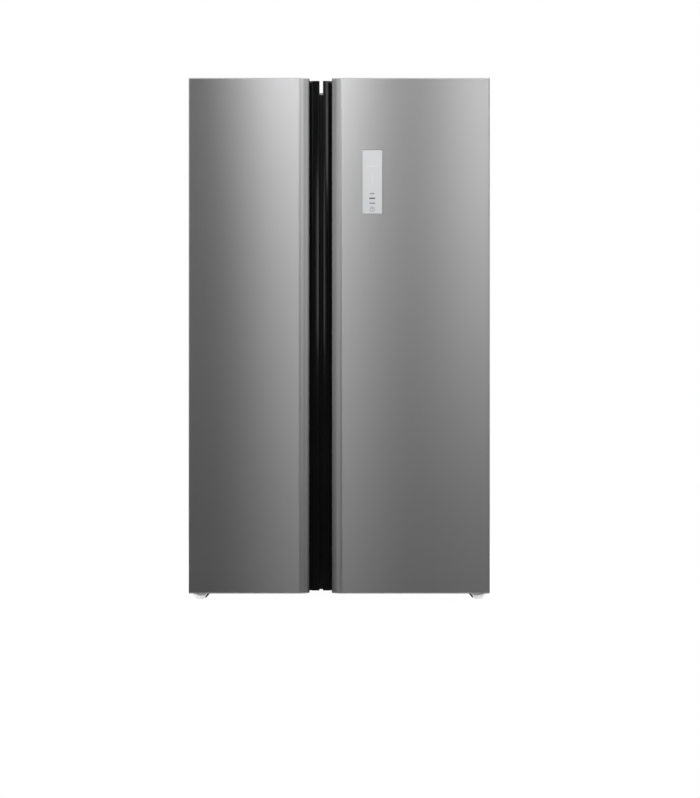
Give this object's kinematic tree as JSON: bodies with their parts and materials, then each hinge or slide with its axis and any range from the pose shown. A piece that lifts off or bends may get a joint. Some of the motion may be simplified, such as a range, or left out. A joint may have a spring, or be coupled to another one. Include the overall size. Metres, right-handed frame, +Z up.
{
  "type": "side by side refrigerator",
  "caption": "Free-standing side by side refrigerator with brushed steel doors, recessed full-height grips, a door display, shelves, drawers, door bins, feet and rear rollers.",
  "frame": {"origin": "on the floor, under the middle of the body's width and depth", "axes": "+Z up, -Y towards the user, so the doors face -Y; +X to the viewer's right"},
  "size_m": [0.95, 0.71, 1.66],
  "materials": {
    "brushed_steel": "fine horizontal brushing, clear of marks, silver grey",
    "coated_steel": "silver-grey coated sheet with a faint pebble texture",
    "zinc_steel": "plain zinc-coated sheet and brackets, satin",
    "insulation": "rigid polyurethane foam, cream, hidden",
    "white_plastic": "vacuum-formed liner, white, satin",
    "dark_plastic": "moulded dark grey plastic",
    "grey_plastic": "moulded mid grey plastic",
    "compressor_paint": "black enamel",
    "coil_aluminium": "bare fins and tubes",
    "copper": "bare copper tube",
    "shelf_glass": "clear tempered glass in a moulded trim",
    "lamp_lens": "frosted lens",
    "foot_plastic": "white moulded plastic",
    "clear_plastic": "clear moulded polystyrene",
    "gasket_rubber": "soft grey magnetic seal",
    "grip_black": "glossy black profile",
    "display_face": "flat silver-grey face"
  },
  "bodies": {
    "cabinet": {"cabinet_shell": "coated_steel", "back_panel": "zinc_steel", "cabinet_foam": "insulation", "freezer_liner": "white_plastic", "fridge_liner": "white_plastic", "base_pan": "zinc_steel", "machine_cover": "zinc_steel", "upper_hinges": "zinc_steel", "hinge_covers": "dark_plastic", "lower_hinges": "zinc_steel", "compressor": "compressor_paint", "condenser": "coil_aluminium", "condenser_fan_frame": "dark_plastic", "drain_pan": "grey_plastic", "refrigerant_pipes": "copper", "evaporator": "coil_aluminium", "evaporator_cover": "white_plastic", "fridge_air_duct": "white_plastic", "control_board_cover": "dark_plastic", "freezer_shelf_1": "shelf_glass", "freezer_shelf_2": "shelf_glass", "freezer_shelf_3": "shelf_glass", "freezer_shelf_4": "shelf_glass", "fridge_shelf_1": "shelf_glass", "fridge_shelf_2": "shelf_glass", "fridge_shelf_3": "shelf_glass", "crisper_lid": "shelf_glass", "interior_lamps": "lamp_lens"},
    "left_door": {"left_door_panel": "brushed_steel", "left_door_caps": "grey_plastic", "left_door_foam": "insulation", "left_door_liner": "white_plastic", "left_gasket": "gasket_rubber", "left_handle": "grip_black", "left_bin_1": "clear_plastic", "left_bin_2": "clear_plastic", "left_bin_3": "clear_plastic", "left_bin_4": "clear_plastic"},
    "right_door": {"right_door_panel": "brushed_steel", "right_door_caps": "grey_plastic", "right_door_foam": "insulation", "right_door_liner": "white_plastic", "right_gasket": "gasket_rubber", "right_handle": "grip_black", "display_panel": "display_face", "right_bin_1": "clear_plastic", "right_bin_2": "clear_plastic", "right_bin_3": "clear_plastic", "dairy_bin": "clear_plastic"},
    "dairy_lid": {"dairy_cover": "clear_plastic"},
    "freezer_drawer_upper": {"freezer_drawer_upper": "clear_plastic"},
    "freezer_drawer_lower": {"freezer_drawer_lower": "clear_plastic"},
    "crisper_upper": {"crisper_upper": "clear_plastic"},
    "crisper_lower": {"crisper_lower": "clear_plastic"},
    "foot_left": {"foot_left": "foot_plastic"},
    "foot_right": {"foot_right": "foot_plastic"},
    "rear_roller_left": {"rear_roller_left": "foot_plastic"},
    "rear_roller_right": {"rear_roller_right": "foot_plastic"},
    "condenser_fan": {"condenser_fan": "grey_plastic"},
    "evaporator_fan": {"evaporator_fan": "dark_plastic"}
  },
  "joints": [
    {"name": "left_door_hinge", "type": "hinge", "parent": "cabinet", "child": "left_door", "pos_m": [-0.45, -0.317, 0], "axis": [0, 0, -1], "range_deg": [0, 120]},
    {"name": "right_door_hinge", "type": "hinge", "parent": "cabinet", "child": "right_door", "pos_m": [0.45, -0.317, 0], "axis": [0, 0, 1], "range_deg": [0, 120]},
    {"name": "dairy_cover_hinge", "type": "hinge", "parent": "right_door", "child": "dairy_lid", "pos_m": [0.22, -0.271, 1.428], "axis": [1, 0, 0], "range_deg": [0, 80]},
    {"name": "freezer_drawer_upper_slide", "type": "slide", "parent": "cabinet", "child": "freezer_drawer_upper", "axis": [0, -1, 0], "range_m": [0, 0.2]},
    {"name": "freezer_drawer_lower_slide", "type": "slide", "parent": "cabinet", "child": "freezer_drawer_lower", "axis": [0, -1, 0], "range_m": [0, 0.2]},
    {"name": "crisper_upper_slide", "type": "slide", "parent": "cabinet", "child": "crisper_upper", "axis": [0, -1, 0], "range_m": [0, 0.2]},
    {"name": "crisper_lower_slide", "type": "slide", "parent": "cabinet", "child": "crisper_lower", "axis": [0, -1, 0], "range_m": [0, 0.2]},
    {"name": "foot_left_height", "type": "slide", "parent": "cabinet", "child": "foot_left", "axis": [0, 0, -1], "range_m": [-0.008, 0.012]},
    {"name": "foot_right_height", "type": "slide", "parent": "cabinet", "child": "foot_right", "axis": [0, 0, -1], "range_m": [-0.008, 0.012]},
    {"name": "rear_roller_left_spin", "type": "hinge", "parent": "cabinet", "child": "rear_roller_left", "pos_m": [-0.43, 0.3, 0.019], "axis": [1, 0, 0], "continuous": true},
    {"name": "rear_roller_right_spin", "type": "hinge", "parent": "cabinet", "child": "rear_roller_right", "pos_m": [0.43, 0.3, 0.019], "axis": [1, 0, 0], "continuous": true},
    {"name": "condenser_fan_spin", "type": "hinge", "parent": "cabinet", "child": "condenser_fan", "pos_m": [0.034, 0.25, 0.148], "axis": [1, 0, 0], "continuous": true},
    {"name": "evaporator_fan_spin", "type": "hinge", "parent": "cabinet", "child": "evaporator_fan", "pos_m": [-0.25375, 0.24, 0.83], "axis": [0, 1, 0], "continuous": true}
  ],
  "couplings": [
    {"joint": "freezer_drawer_upper_slide", "follows": "left_door_hinge", "m_per_rad": 0.0954},
    {"joint": "freezer_drawer_lower_slide", "follows": "left_door_hinge", "m_per_rad": 0.0954},
    {"joint": "crisper_upper_slide", "follows": "right_door_hinge", "m_per_rad": 0.0954},
    {"joint": "crisper_lower_slide", "follows": "right_door_hinge", "m_per_rad": 0.0954}
  ]
}
